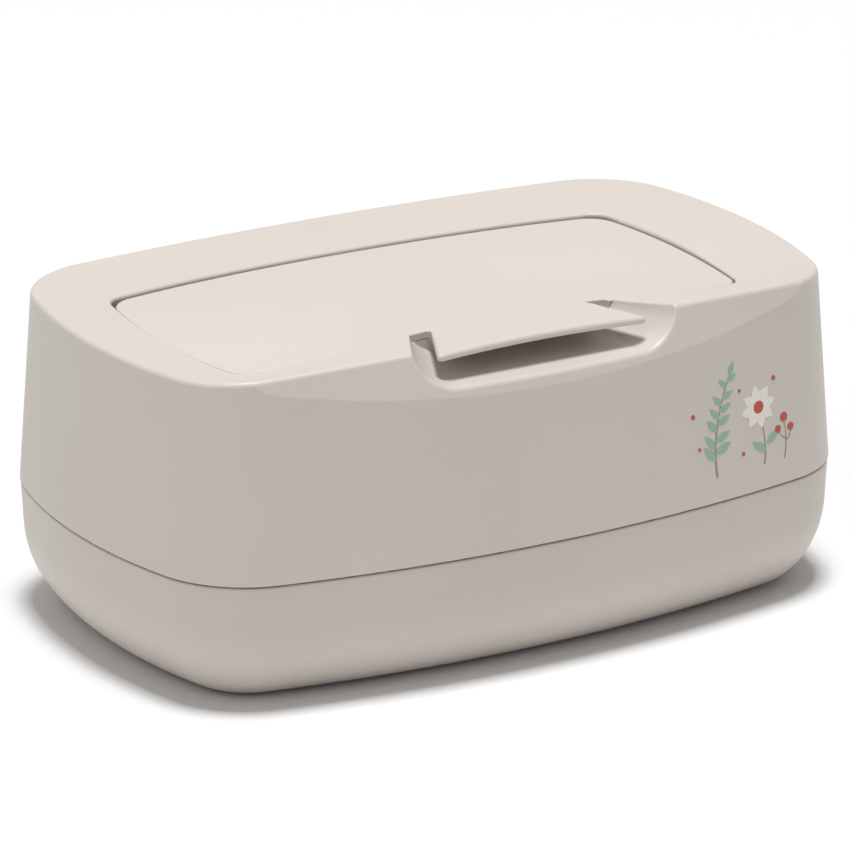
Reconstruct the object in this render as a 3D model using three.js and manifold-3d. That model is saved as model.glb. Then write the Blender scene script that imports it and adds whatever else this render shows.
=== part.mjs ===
// A wet wipes box: a low tray, a tall cover that drops over its rim, and a flip lid let into the cover's
// dished top. Millimetres, +Z up. The origin is under the middle of the box, on the surface it stands on.
// -Y is the front, where the finger tab is, and X runs along the length.
import * as THREE from 'three';
import { mergeVertices } from 'three/addons/utils/BufferGeometryUtils.js';
import Module from 'manifold-3d';

const wasm = await Module();
wasm.setup();

// Body, measured at the seam between tray and cover
const HALF_LENGTH = 110;
const FRONT_REACH = 69.55;
const REAR_REACH = 69.55;
const WIDEST_Y = 3.4;
const FRONT_BOW = 15.442;
const REAR_BOW = 8.178;
const SIDE_BOW = 15.625;
const FRONT_CORNER = 29.9;
const REAR_CORNER = 31.7;
const HEIGHT = 90.6;
const SEAM_HEIGHT = 36.1;
const SEAM_GAP = 0.4;

// Tray
const TRAY_WALL = 2.4;
const TRAY_FLOOR = 2.8;
const FOOT_PROUD = 0.6;
const BASE_ROUND_HEIGHT = 24;
const BASE_ROUND_WIDTH = 17.3;
const TRAY_DRAFT_SHARE = 0.045;
const TRAY_EDGE_INSET = 0.25;
const RIM_THICKNESS = 1.6;
const RIM_RISE = 6;
const RIM_SEAT_HEIGHT = 3.9;
const RIM_SEAT_SLOPE = 3.4;

// Cover
const COVER_WALL = 2.2;
const COVER_TOP_INSET = 4.2;
const TOP_EDGE_RADIUS = 1.6;
const DISH_DEPTH = 4;
const SIDE_BAND = 27.8;
const FRONT_BAND = 25.45;
const REAR_BAND = 23.65;
const FACET_INSET = 16.8;
const FACET_BOW = 9.3;
const FACET_SLOPE_SHARE = 0.287;
const FACET_DROP = 11.4;
const FRONT_CROWN = 3.4;
const CROWN_SIDE_INSET = 9.4;
const CROWN_START_INSET = 49.5;
const CROWN_FULL_INSET = 19.5;

// Lid
const LID_FRONT_BOW = 10.738;
const LID_REAR_BOW = 7.571;
const LID_SIDE_BOW = 5.716;
const LID_FRONT_CORNER = 8;
const LID_REAR_CORNER = 9;
const LID_THICKNESS = 2.2;
const LID_RISE = 6.8;
const LID_STEP = 1.2;
const LEAST_STEP_SHARE = 0.3;
const LID_GAP = 0.8;
const LID_FRONT_GAP = 0.4;
const LID_LEDGE_GAP = 0.35;
const RECESS_REAR_CORNER = 6;
const LEDGE_WIDTH = 7.3;
const RECESS_FLOOR_DEPTH = 10.1;

// Finger scoop and tab
const SCOOP_BACK_INSET = 3.5;
const SCOOP_BACK_HALF = 30.3;
const SCOOP_RIM_HALF = 40;
const SCOOP_BACK_DEPTH = 5.2;
const SCOOP_LIP_DEPTH = 8.7;
const SCOOP_BACK_RADIUS = 5.5;
const SCOOP_LIP_RADIUS = 9;
const SCOOP_FLANK_LEAN = 2.2;
const TAB_ROOT_HALF = 23.9;
const TAB_FRONT_HALF = 32.9;
const TAB_FRONT_INSET = 9.75;
const TAB_ROOT_OVERLAP = 5;
const TAB_CORNER = 1.6;

// Hinge
const HINGE_INSET = 11.9;
const HINGE_BELOW_LID_TOP = 1.5;
const OPEN_ANGLE = 95;
const PIN_RADIUS = 0.6;
const PIN_LENGTH = 17.7;
const PIN_OVERHANG = 3;
const PIN_CLEARANCE = 0.2;
const LUG_RADIUS = 1.5;
const LUG_LENGTH = 10.2;
const LUG_INSET = 6;
const LUG_WALL = 1.2;
const BOSS_HALF_Y = 4;
const BOSS_DROP = 4;
const BOSS_RISE = 2.1;
const BOSS_WALL = 2.4;
const SWING_CLEARANCE = 0.6;
const TRENCH_STEP = 0.15;

// Seals, insert and feet
const SEAL_SIDE_INSET = 24.2;
const SEAL_FRONT_INSET = 14.1;
const SEAL_REAR_INSET = 24.9;
const SEAL_CORNER = 12;
const SEAL_WIDTH = 2.4;
const SEAL_HEIGHT = 1.6;
const RIB_WIDTH = 1.8;
const INSERT_SIDE_INSET = 8;
const INSERT_EDGE_INSET = 2.5;
const INSERT_CORNER = 8;
const INSERT_LEDGE = 4;
const INSERT_THICKNESS = 1.1;
const SLOT_HALF_LENGTH = 30;
const SLOT_HALF_WIDTH = 4.6;
const RIM_SEAL_WIDTH = 1.2;
const RIM_SEAL_HEIGHT = 1.8;
const FOOT_RADIUS = 7;
const FOOT_THICKNESS = 1.8;
const FOOT_SIDE_INSET = 38;
const FOOT_FRONT_INSET = 37.55;
const FIT_GAP = 0.3;

// One overrun serves every cut
const OVERRUN = 12;

// Counts
const CORNER_STEPS = 6;
const LONG_STEPS = 5;
const SIDE_STEPS = 4;
const WALL_STEPS = 8;
const FLOOR_RING = 3;
const COVER_RINGS = 3;
const FACET_STEPS = 5;
const EDGE_STEPS = 2;
const ROUND_STEPS = 24;
const SLAB_COLUMNS = 14;
const SLAB_ROWS = 7;
const LEAST_TURN = 0.012;
const LIMIT_ROUNDS = 6;

// Places and heights that follow from the sizes above
const LID_HALF_LENGTH = HALF_LENGTH - SIDE_BAND;
const LID_FRONT_REACH = FRONT_REACH - FRONT_BAND;
const LID_REAR_REACH = REAR_REACH - REAR_BAND;
const arcRadius = (half, bow) => (half * half + bow * bow) / (2 * bow);
const FRONT_ARC = arcRadius(HALF_LENGTH, FRONT_BOW);
const REAR_ARC = arcRadius(HALF_LENGTH, REAR_BOW);
const SIDE_ARC = arcRadius((FRONT_REACH + REAR_REACH) / 2, SIDE_BOW);
const LID_FRONT_ARC = arcRadius(LID_HALF_LENGTH, LID_FRONT_BOW);
const LID_REAR_ARC = arcRadius(LID_HALF_LENGTH, LID_REAR_BOW);
const LID_SIDE_ARC = arcRadius((LID_FRONT_REACH + LID_REAR_REACH) / 2, LID_SIDE_BOW);
const FACET_TOP_Y = FACET_INSET - FRONT_REACH;
const FACET_FOOT = HEIGHT - FACET_DROP;
const CROWN_HALF = HALF_LENGTH - CROWN_SIDE_INSET;
const CROWN_START_Y = CROWN_START_INSET - FRONT_REACH;
const CROWN_FULL_Y = CROWN_FULL_INSET - FRONT_REACH;
const SCOOP_BACK_Y = SCOOP_BACK_INSET - LID_FRONT_REACH;
const SCOOP_BACK_FLOOR = HEIGHT - SCOOP_BACK_DEPTH;
const SCOOP_LIP_FLOOR = HEIGHT - SCOOP_LIP_DEPTH;
const TAB_FRONT_Y = TAB_FRONT_INSET - FRONT_REACH;
const RECESS_FLOOR_HEIGHT = HEIGHT - RECESS_FLOOR_DEPTH;
const HINGE_Y = LID_REAR_REACH - HINGE_INSET;
const PIN_OUTER_X = LID_HALF_LENGTH + PIN_OVERHANG;
const PIN_INNER_X = PIN_OUTER_X - PIN_LENGTH;
const LUG_OUTER_X = LID_HALF_LENGTH - LUG_INSET;
const LUG_INNER_X = LUG_OUTER_X - LUG_LENGTH;
const SEAL_HALF_LENGTH = LID_HALF_LENGTH - SEAL_SIDE_INSET;
const SEAL_HALF_WIDTH = (LID_FRONT_REACH - SEAL_FRONT_INSET + LID_REAR_REACH - SEAL_REAR_INSET) / 2;
const SEAL_CENTRE_Y = LID_REAR_REACH - SEAL_REAR_INSET - SEAL_HALF_WIDTH;
const INSERT_HALF_LENGTH = SEAL_HALF_LENGTH - INSERT_SIDE_INSET;
const INSERT_HALF_WIDTH = SEAL_HALF_WIDTH - INSERT_EDGE_INSET;
const FOOT_X = HALF_LENGTH - FOOT_SIDE_INSET;
const FOOT_Y = FRONT_REACH - FOOT_FRONT_INSET;
const TRAY_TOP = SEAM_HEIGHT - SEAM_GAP / 2;
const COVER_BOTTOM = SEAM_HEIGHT + SEAM_GAP / 2;
const TRAY_INSIDE = FOOT_PROUD + TRAY_FLOOR;
const RECESS_EDGE = HEIGHT - DISH_DEPTH;
const LID_LOW = RECESS_EDGE - LID_STEP;
const HINGE_Z = LID_LOW - HINGE_BELOW_LID_TOP;
const RIM_SEAL_OUTER = COVER_WALL + TRAY_EDGE_INSET + 2 * FIT_GAP;
const TRAY_RIM_OUTER = RIM_SEAL_OUTER + RIM_SEAL_WIDTH + FIT_GAP;
const TRAY_RIM_INNER = TRAY_RIM_OUTER + RIM_THICKNESS;

const COLOURS = {
  shell: 0xd3cac1,
  lid: 0xddd6ce,
  seal: 0xb9b2aa,
  steel: 0xb8babd,
  rubber: 0x8d8780,
};

// An outline with bowed sides: four long arcs joined by four corner fillets
const BODY_OUTLINE = {
  half: HALF_LENGTH,
  front: FRONT_REACH,
  rear: REAR_REACH,
  frontArc: FRONT_ARC,
  rearArc: REAR_ARC,
  sideArc: SIDE_ARC,
  frontCorner: FRONT_CORNER,
  rearCorner: REAR_CORNER,
};

const LID_OUTLINE = {
  half: LID_HALF_LENGTH,
  front: LID_FRONT_REACH,
  rear: LID_REAR_REACH,
  frontArc: LID_FRONT_ARC,
  rearArc: LID_REAR_ARC,
  sideArc: LID_SIDE_ARC,
  frontCorner: LID_FRONT_CORNER,
  rearCorner: LID_REAR_CORNER,
};

const RECESS_OUTLINE = {
  half: LID_HALF_LENGTH + LID_GAP,
  front: LID_FRONT_REACH + LID_FRONT_GAP,
  rear: LID_REAR_REACH + LID_GAP,
  frontArc: LID_FRONT_ARC,
  rearArc: LID_REAR_ARC,
  sideArc: LID_SIDE_ARC,
  frontCorner: LID_FRONT_CORNER,
  rearCorner: RECESS_REAR_CORNER,
};

// The centre of a fillet that touches the inside of two large arcs, on the +X side
function filletCentre(first, firstRadius, second, secondRadius, radius, sign) {
  const d1 = firstRadius - radius;
  const d2 = secondRadius - radius;
  const span = second.clone().sub(first);
  const length = span.length();
  const along = (d1 * d1 - d2 * d2 + length * length) / (2 * length);
  const across = Math.sqrt(d1 * d1 - along * along);
  const middle = first.clone().addScaledVector(span, along / length);
  const normal = new THREE.Vector2(-span.y, span.x).divideScalar(length);
  const sides = [
    middle.clone().addScaledVector(normal, across),
    middle.clone().addScaledVector(normal, -across),
  ];
  return sides[0].x + sign * sides[0].y > sides[1].x + sign * sides[1].y ? sides[0] : sides[1];
}

function arcPoints(centre, radius, from, to, steps) {
  const start = Math.atan2(from.y - centre.y, from.x - centre.x);
  const end = Math.atan2(to.y - centre.y, to.x - centre.x);
  const points = [];
  for (let i = 0; i <= steps; i += 1) {
    const angle = start + ((end - start) * i) / steps;
    points.push(new THREE.Vector2(centre.x + radius * Math.cos(angle), centre.y + radius * Math.sin(angle)));
  }
  return points;
}

// The outline's points, anticlockwise from the middle of the front, moved inwards by inset
function outlinePoints(shape, inset) {
  const frontCentre = new THREE.Vector2(0, -shape.front + shape.frontArc);
  const rearCentre = new THREE.Vector2(0, shape.rear - shape.rearArc);
  const sideCentre = new THREE.Vector2(shape.half - shape.sideArc, WIDEST_Y);
  const frontFillet = filletCentre(frontCentre, shape.frontArc, sideCentre, shape.sideArc, shape.frontCorner, -1);
  const rearFillet = filletCentre(rearCentre, shape.rearArc, sideCentre, shape.sideArc, shape.rearCorner, 1);
  const touch = (centre, radius, fillet) => {
    const direction = fillet.clone().sub(centre).normalize();
    return centre.clone().addScaledVector(direction, radius - inset);
  };
  const frontEnd = touch(frontCentre, shape.frontArc, frontFillet);
  const frontSide = touch(sideCentre, shape.sideArc, frontFillet);
  const rearSide = touch(sideCentre, shape.sideArc, rearFillet);
  const rearEnd = touch(rearCentre, shape.rearArc, rearFillet);
  const frontMiddle = new THREE.Vector2(0, -shape.front + inset);
  const rearMiddle = new THREE.Vector2(0, shape.rear - inset);
  const right = [
    ...arcPoints(frontCentre, shape.frontArc - inset, frontMiddle, frontEnd, LONG_STEPS),
    ...arcPoints(frontFillet, shape.frontCorner - inset, frontEnd, frontSide, CORNER_STEPS).slice(1),
    ...arcPoints(sideCentre, shape.sideArc - inset, frontSide, rearSide, SIDE_STEPS).slice(1),
    ...arcPoints(rearFillet, shape.rearCorner - inset, rearSide, rearEnd, CORNER_STEPS).slice(1),
    ...arcPoints(rearCentre, shape.rearArc - inset, rearEnd, rearMiddle, LONG_STEPS).slice(1),
  ];
  const left = right
    .slice(1, -1)
    .reverse()
    .map((point) => new THREE.Vector2(-point.x, point.y));
  return [...right, ...left];
}

// The same outline met along a set of directions from the middle, so that rings pair up point by point
function ringAlong(directions, outline) {
  return directions.map((direction) => {
    const distances = outline.map((from, i) => {
      const to = outline[(i + 1) % outline.length];
      const facing = direction.x * (to.y - from.y) - direction.y * (to.x - from.x);
      return facing > 0 ? (from.x * to.y - from.y * to.x) / facing : Infinity;
    });
    return direction.clone().multiplyScalar(Math.min(...distances));
  });
}

// A closed solid from points and triangles that share their corners
function solid(points, triangles) {
  const vertProperties = new Float32Array(points.flatMap((point) => [point.x, point.y, point.z]));
  const mesh = new wasm.Mesh({ numProp: 3, vertProperties, triVerts: new Uint32Array(triangles) });
  return new wasm.Manifold(mesh);
}

function solidOf(geometry) {
  const bare = geometry.clone();
  bare.deleteAttribute('normal');
  bare.deleteAttribute('uv');
  const merged = mergeVertices(bare);
  const position = merged.attributes.position;
  const points = [];
  for (let i = 0; i < position.count; i += 1) {
    points.push(new THREE.Vector3().fromBufferAttribute(position, i));
  }
  return solid(points, Array.from(merged.index.array));
}

// A stack of rings with as many points each, closed by a fan at the bottom and one at the top
function stack(rings) {
  const count = rings[0].length;
  const points = rings.flat();
  const triangles = [];
  for (let level = 0; level + 1 < rings.length; level += 1) {
    for (let i = 0; i < count; i += 1) {
      const next = (i + 1) % count;
      const a = level * count + i;
      const b = level * count + next;
      triangles.push(a, b, b + count, a, b + count, a + count);
    }
  }
  const centreOf = (ring) =>
    ring.reduce((sum, point) => sum.add(point), new THREE.Vector3()).divideScalar(ring.length);
  const bottom = points.push(centreOf(rings[0])) - 1;
  const top = points.push(centreOf(rings[rings.length - 1])) - 1;
  const last = (rings.length - 1) * count;
  for (let i = 0; i < count; i += 1) {
    const next = (i + 1) % count;
    triangles.push(bottom, next, i, top, last + i, last + next);
  }
  return solid(points, triangles);
}

const lift = (ring, height) => ring.map((point) => new THREE.Vector3(point.x, point.y, height));
const drape = (ring, heightAt) => ring.map((point) => new THREE.Vector3(point.x, point.y, heightAt(point)));
const bodyRing = (inset, height) => lift(outlinePoints(BODY_OUTLINE, inset), height);

// A wide slab whose top and bottom follow two height functions, to be cut to an outline
function slab(topAt, bottomAt) {
  const halfX = LID_HALF_LENGTH + OVERRUN;
  const reach = LID_FRONT_REACH + LID_REAR_REACH + OVERRUN;
  const places = [TAB_FRONT_Y - OVERRUN, ...steps(SLAB_ROWS).map((share) => reach * share - LID_FRONT_REACH)];
  const rows = places.map((y) => {
    const across = steps(SLAB_COLUMNS).map((place) => halfX * (2 * place - 1));
    const top = across.map((x) => new THREE.Vector3(x, y, topAt(x, y)));
    const under = across.map((x) => new THREE.Vector3(x, y, bottomAt(x, y)));
    return [...top, ...under.reverse()];
  });
  return stack(rows);
}

function roundedRectangle(halfX, halfY, corner) {
  const shape = new THREE.Shape();
  shape.moveTo(halfX, -halfY + corner);
  shape.lineTo(halfX, halfY - corner);
  shape.absarc(halfX - corner, halfY - corner, corner, 0, Math.PI / 2);
  shape.absarc(-halfX + corner, halfY - corner, corner, Math.PI / 2, Math.PI);
  shape.absarc(-halfX + corner, -halfY + corner, corner, Math.PI, Math.PI * 1.5);
  shape.absarc(halfX - corner, -halfY + corner, corner, Math.PI * 1.5, Math.PI * 2);
  return shape;
}

// A prism of an outline between two heights, at a place along Y
function prism(shape, bottom, top, y) {
  const geometry = new THREE.ExtrudeGeometry(shape, {
    depth: top - bottom,
    bevelEnabled: false,
    curveSegments: CORNER_STEPS,
  });
  geometry.translate(0, y, bottom);
  return solidOf(geometry);
}

function block(fromX, toX, fromY, toY, fromZ, toZ) {
  const geometry = new THREE.BoxGeometry(toX - fromX, toY - fromY, toZ - fromZ);
  geometry.translate((fromX + toX) / 2, (fromY + toY) / 2, (fromZ + toZ) / 2);
  return solidOf(geometry);
}

// A round bar along X
function barAlongX(radius, fromX, toX, y, z) {
  const geometry = new THREE.CylinderGeometry(radius, radius, toX - fromX, ROUND_STEPS);
  geometry.rotateZ(Math.PI / 2);
  geometry.translate((fromX + toX) / 2, y, z);
  return solidOf(geometry);
}

// A round bar along Z
function barAlongZ(radius, x, y, fromZ, toZ) {
  const geometry = new THREE.CylinderGeometry(radius, radius, toZ - fromZ, ROUND_STEPS);
  geometry.rotateX(Math.PI / 2);
  geometry.translate(x, y, (fromZ + toZ) / 2);
  return solidOf(geometry);
}

const steps = (count) => Array.from({ length: count + 1 }, (_, i) => i / count);

// How far the tray's wall stands inside the seam outline at a height
function trayInset(height) {
  const drop = Math.max(0, (BASE_ROUND_HEIGHT - height) / BASE_ROUND_HEIGHT);
  const round = BASE_ROUND_WIDTH * (1 - Math.sqrt(Math.max(0, 1 - drop * drop)));
  return TRAY_EDGE_INSET + round + TRAY_DRAFT_SHARE * (SEAM_HEIGHT - height);
}

// The front rim rises and bows forward towards the middle of its length
const crownShare = (x) => Math.max(0, 1 - (x / CROWN_HALF) ** 2);
const rimLine = (x) => FACET_TOP_Y - FACET_BOW * crownShare(x);

function rimCrown(x, y) {
  const forward = (CROWN_START_Y - y) / (CROWN_START_Y - CROWN_FULL_Y);
  return FRONT_CROWN * crownShare(x) * Math.min(1, Math.max(0, forward));
}

function coverInset(height) {
  return (COVER_TOP_INSET * (height - COVER_BOTTOM)) / (HEIGHT - COVER_BOTTOM);
}

// The lid's top: low along its sides and rear, rising to the front in the middle
function lidTop(x, y) {
  const forward = (LID_REAR_REACH - y) / (LID_REAR_REACH + LID_FRONT_REACH);
  const across = Math.max(0, 1 - (x / LID_HALF_LENGTH) ** 2);
  return LID_LOW + LID_RISE * across * Math.min(1, forward);
}

const lidUnderside = (x, y) => lidTop(x, y) - LID_THICKNESS;

// Base tray

function makeTray() {
  const roundHeights = steps(WALL_STEPS).map((share) => {
    const turn = (share * Math.PI) / 2;
    return FOOT_PROUD + (BASE_ROUND_HEIGHT - FOOT_PROUD) * (1 - Math.cos(turn));
  });
  const outside = [
    ...roundHeights.map((height) => bodyRing(trayInset(height), height)),
    bodyRing(trayInset(TRAY_TOP), TRAY_TOP),
    bodyRing(TRAY_RIM_OUTER, TRAY_TOP),
    bodyRing(TRAY_RIM_OUTER, TRAY_TOP + RIM_RISE),
  ];
  const innerHeights = roundHeights.slice(FLOOR_RING);
  const seatBottom = TRAY_TOP - RIM_SEAT_HEIGHT;
  const inside = [
    bodyRing(trayInset(innerHeights[0]) + TRAY_WALL + TRAY_FLOOR, TRAY_INSIDE),
    ...innerHeights.map((height) => bodyRing(trayInset(height) + TRAY_WALL, height + FOOT_PROUD)),
    bodyRing(trayInset(seatBottom) + TRAY_WALL, seatBottom - RIM_SEAT_SLOPE),
    bodyRing(TRAY_RIM_INNER, seatBottom),
    bodyRing(TRAY_RIM_INNER, TRAY_TOP + RIM_RISE + OVERRUN),
  ];
  let tray = stack(outside).subtract(stack(inside));
  footPlaces().forEach(([x, y]) => {
    const pocket = barAlongZ(FOOT_RADIUS + FIT_GAP, x, y, -OVERRUN, FOOT_THICKNESS + FIT_GAP);
    tray = tray.subtract(pocket);
  });
  return tray;
}

function footPlaces() {
  return [
    [-FOOT_X, -FOOT_Y],
    [FOOT_X, -FOOT_Y],
    [-FOOT_X, FOOT_Y],
    [FOOT_X, FOOT_Y],
  ];
}

// Ring that lies on the tray's shoulder, between its rim and the cover
function makeRimSeal() {
  const inner = RIM_SEAL_OUTER + RIM_SEAL_WIDTH;
  const bottom = TRAY_TOP + FIT_GAP;
  const top = bottom + RIM_SEAL_HEIGHT;
  const disc = stack([bodyRing(RIM_SEAL_OUTER, bottom), bodyRing(RIM_SEAL_OUTER, top)]);
  return disc.subtract(stack([bodyRing(inner, bottom - OVERRUN), bodyRing(inner, top + OVERRUN)]));
}

// Finger scoop: a flared trough with rounded lower corners, wider and deeper towards the front

const SCOOP_LIP_Y = -FRONT_REACH + COVER_TOP_INSET;
const SCOOP_FLARE = (SCOOP_RIM_HALF - SCOOP_BACK_HALF) / (SCOOP_BACK_Y - rimLine(SCOOP_RIM_HALF));
const scoopHalf = (y) => SCOOP_BACK_HALF + SCOOP_FLARE * (SCOOP_BACK_Y - y);

function scoopSection(y, grow) {
  const forward = (SCOOP_BACK_Y - y) / (SCOOP_BACK_Y - SCOOP_LIP_Y);
  const half = scoopHalf(y) + grow;
  const low = SCOOP_BACK_FLOOR + (SCOOP_LIP_FLOOR - SCOOP_BACK_FLOOR) * forward - grow;
  const corner = SCOOP_BACK_RADIUS + (SCOOP_LIP_RADIUS - SCOOP_BACK_RADIUS) * forward + grow;
  const foot = half - SCOOP_FLANK_LEAN;
  const right = [
    new THREE.Vector2(half + SCOOP_FLANK_LEAN, HEIGHT + OVERRUN),
    new THREE.Vector2(half, HEIGHT),
  ];
  steps(CORNER_STEPS).forEach((share) => {
    const turn = (share * Math.PI) / 2;
    right.push(new THREE.Vector2(foot - corner * (1 - Math.cos(turn)), low + corner * (1 - Math.sin(turn))));
  });
  const left = right.map((point) => new THREE.Vector2(-point.x, point.y)).reverse();
  return [...right, ...left].map((point) => new THREE.Vector3(point.x, y, point.y));
}

function scoopCutter(grow) {
  return stack([scoopSection(-FRONT_REACH - OVERRUN, grow), scoopSection(SCOOP_BACK_Y + grow, grow)]);
}

// Cover

// Directions from the middle through the points of the body and of the recess, in order
function ringDirections() {
  const turns = [...outlinePoints(BODY_OUTLINE, COVER_TOP_INSET), ...outlinePoints(RECESS_OUTLINE, 0)]
    .map((point) => Math.atan2(point.y, point.x))
    .sort((a, b) => a - b);
  const kept = turns.filter((turn, i) => i === 0 || turn - turns[i - 1] > LEAST_TURN);
  return kept.map((turn) => new THREE.Vector2(Math.cos(turn), Math.sin(turn)));
}

const RING_DIRECTIONS = ringDirections();

// The wall's ring at a level, crowned in front and cut back there to the sloping facet
function coverRing(inset, level, depth) {
  const share = Math.min(1, Math.max(0, (level - FACET_FOOT) / (HEIGHT - FACET_FOOT)));
  const slant = Math.hypot(FACET_SLOPE_SHARE, 1);
  const heightAt = (point) => level - depth + share * rimCrown(point.x, point.y);
  const limitAt = (point) => {
    const below = HEIGHT + rimCrown(point.x, point.y) - heightAt(point);
    return rimLine(point.x) - below * FACET_SLOPE_SHARE + depth * slant;
  };
  const ring = ringAlong(RING_DIRECTIONS, outlinePoints(BODY_OUTLINE, inset));
  const cutBack = ring.map((point) => {
    let place = point;
    if (point.y < limitAt(point)) {
      for (let round = 0; round < LIMIT_ROUNDS; round += 1) {
        place = point.clone().multiplyScalar(limitAt(place) / point.y);
      }
    }
    return place;
  });
  return drape(cutBack, heightAt);
}

function wellRing(grow) {
  return ringAlong(RING_DIRECTIONS, outlinePoints(LID_OUTLINE, LEDGE_WIDTH - grow));
}

// The recess edge stands a step above the lid at the sides and rear, and much less in front
function recessEdge(point) {
  const share = Math.min(1, Math.max(LEAST_STEP_SHARE, 1 + point.y / LID_FRONT_REACH));
  return lidTop(point.x, point.y) + LID_STEP * share;
}

const ledgeHeight = (point) => lidUnderside(point.x, point.y) - LID_LEDGE_GAP;

// Rings from the seam up the wall, over the rim, down the dished band and into the recess and the well
function coverSkin(depth) {
  const wallTop = HEIGHT - TOP_EDGE_RADIUS;
  const between = (from, to, count) => steps(count).map((share) => from + (to - from) * share);
  const heights = [
    ...between(COVER_BOTTOM, FACET_FOOT, COVER_RINGS),
    ...between(FACET_FOOT, wallTop, FACET_STEPS).slice(1),
  ];
  const rings = heights.map((height) => coverRing(coverInset(height) + depth, height, depth));
  steps(EDGE_STEPS)
    .slice(1)
    .forEach((share) => {
      const turn = (share * Math.PI) / 2;
      const inset = coverInset(wallTop) + TOP_EDGE_RADIUS * (1 - Math.cos(turn));
      rings.push(coverRing(inset + depth, wallTop + TOP_EDGE_RADIUS * Math.sin(turn), depth));
    });
  const recess = ringAlong(RING_DIRECTIONS, outlinePoints(RECESS_OUTLINE, -depth));
  const well = wellRing(depth);
  rings.push(drape(recess, (point) => recessEdge(point) - depth));
  rings.push(drape(recess, (point) => ledgeHeight(point) - depth));
  rings.push(drape(well, (point) => ledgeHeight(point) - depth));
  rings.push(lift(well, RECESS_FLOOR_HEIGHT - depth));
  return rings;
}

// The trench behind the hinge that the lid's rear edge swings down into
function trenchCutter(grow) {
  const reach = Math.hypot(HINGE_INSET, HINGE_BELOW_LID_TOP) + SWING_CLEARANCE;
  const lean = THREE.MathUtils.degToRad(OPEN_ANGLE) - Math.PI / 2;
  const leaning = HINGE_INSET * Math.sin(lean) + (LID_THICKNESS - HINGE_BELOW_LID_TOP) * Math.cos(lean);
  const front = HINGE_Y - leaning - SWING_CLEARANCE - grow;
  const outline = outlinePoints(RECESS_OUTLINE, TRENCH_STEP - grow);
  const top = LID_LOW - LID_THICKNESS / 2;
  const room = block(-HALF_LENGTH, HALF_LENGTH, front, REAR_REACH, HINGE_Z - reach - grow, top);
  return room.intersect(stack([lift(outline, SEAM_HEIGHT), lift(outline, HEIGHT + OVERRUN)]));
}

function hingeBoss(side) {
  const ends = [side * LUG_OUTER_X, side * (PIN_OUTER_X + BOSS_WALL)].sort((a, b) => a - b);
  const [from, to] = [HINGE_Y - BOSS_HALF_Y, HINGE_Y + BOSS_HALF_Y];
  return block(ends[0], ends[1], from, to, HINGE_Z - BOSS_DROP, HINGE_Z + BOSS_RISE);
}

function makeCover() {
  const underSkin = coverSkin(COVER_WALL);
  const mouth = underSkin[0].map((point) => new THREE.Vector3(point.x, point.y, COVER_BOTTOM - OVERRUN));
  const room = [trenchCutter(COVER_WALL), scoopCutter(COVER_WALL), hingeBoss(-1), hingeBoss(1)].reduce(
    (rest, part) => rest.subtract(part),
    stack([mouth, ...underSkin]),
  );
  const seat = roundedRectangle(INSERT_HALF_LENGTH, INSERT_HALF_WIDTH, INSERT_CORNER);
  const opening = roundedRectangle(
    INSERT_HALF_LENGTH - INSERT_LEDGE,
    INSERT_HALF_WIDTH - INSERT_LEDGE,
    INSERT_CORNER - INSERT_LEDGE,
  );
  const seatHeight = RECESS_FLOOR_HEIGHT - INSERT_THICKNESS - FIT_GAP;
  const socketEnd = PIN_OUTER_X + PIN_CLEARANCE;
  const cuts = [
    room,
    trenchCutter(0),
    scoopCutter(0),
    prism(seat, seatHeight, HEIGHT, SEAL_CENTRE_Y),
    prism(opening, SEAM_HEIGHT, HEIGHT, SEAL_CENTRE_Y),
    barAlongX(PIN_RADIUS + PIN_CLEARANCE, -socketEnd, socketEnd, HINGE_Y, HINGE_Z),
  ];
  return cuts.reduce((body, cut) => body.subtract(cut), stack(coverSkin(0)));
}

// Soft plate in the well's floor, with the slot that the wipes come through
function makeInsert() {
  const plateShape = roundedRectangle(INSERT_HALF_LENGTH - FIT_GAP, INSERT_HALF_WIDTH - FIT_GAP, INSERT_CORNER);
  const slot = roundedRectangle(SLOT_HALF_LENGTH, SLOT_HALF_WIDTH, SLOT_HALF_WIDTH);
  const bottom = RECESS_FLOOR_HEIGHT - INSERT_THICKNESS;
  const body = prism(plateShape, bottom, RECESS_FLOOR_HEIGHT, SEAL_CENTRE_Y);
  return body.subtract(prism(slot, bottom - OVERRUN, RECESS_FLOOR_HEIGHT + OVERRUN, SEAL_CENTRE_Y));
}

// Lid

function sealRing(width, bottom, top) {
  const half = width / 2;
  const outer = roundedRectangle(SEAL_HALF_LENGTH + half, SEAL_HALF_WIDTH + half, SEAL_CORNER + half);
  const inner = roundedRectangle(SEAL_HALF_LENGTH - half, SEAL_HALF_WIDTH - half, SEAL_CORNER - half);
  const hole = prism(inner, bottom - OVERRUN, top + OVERRUN, SEAL_CENTRE_Y);
  return prism(outer, bottom, top, SEAL_CENTRE_Y).subtract(hole);
}

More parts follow.
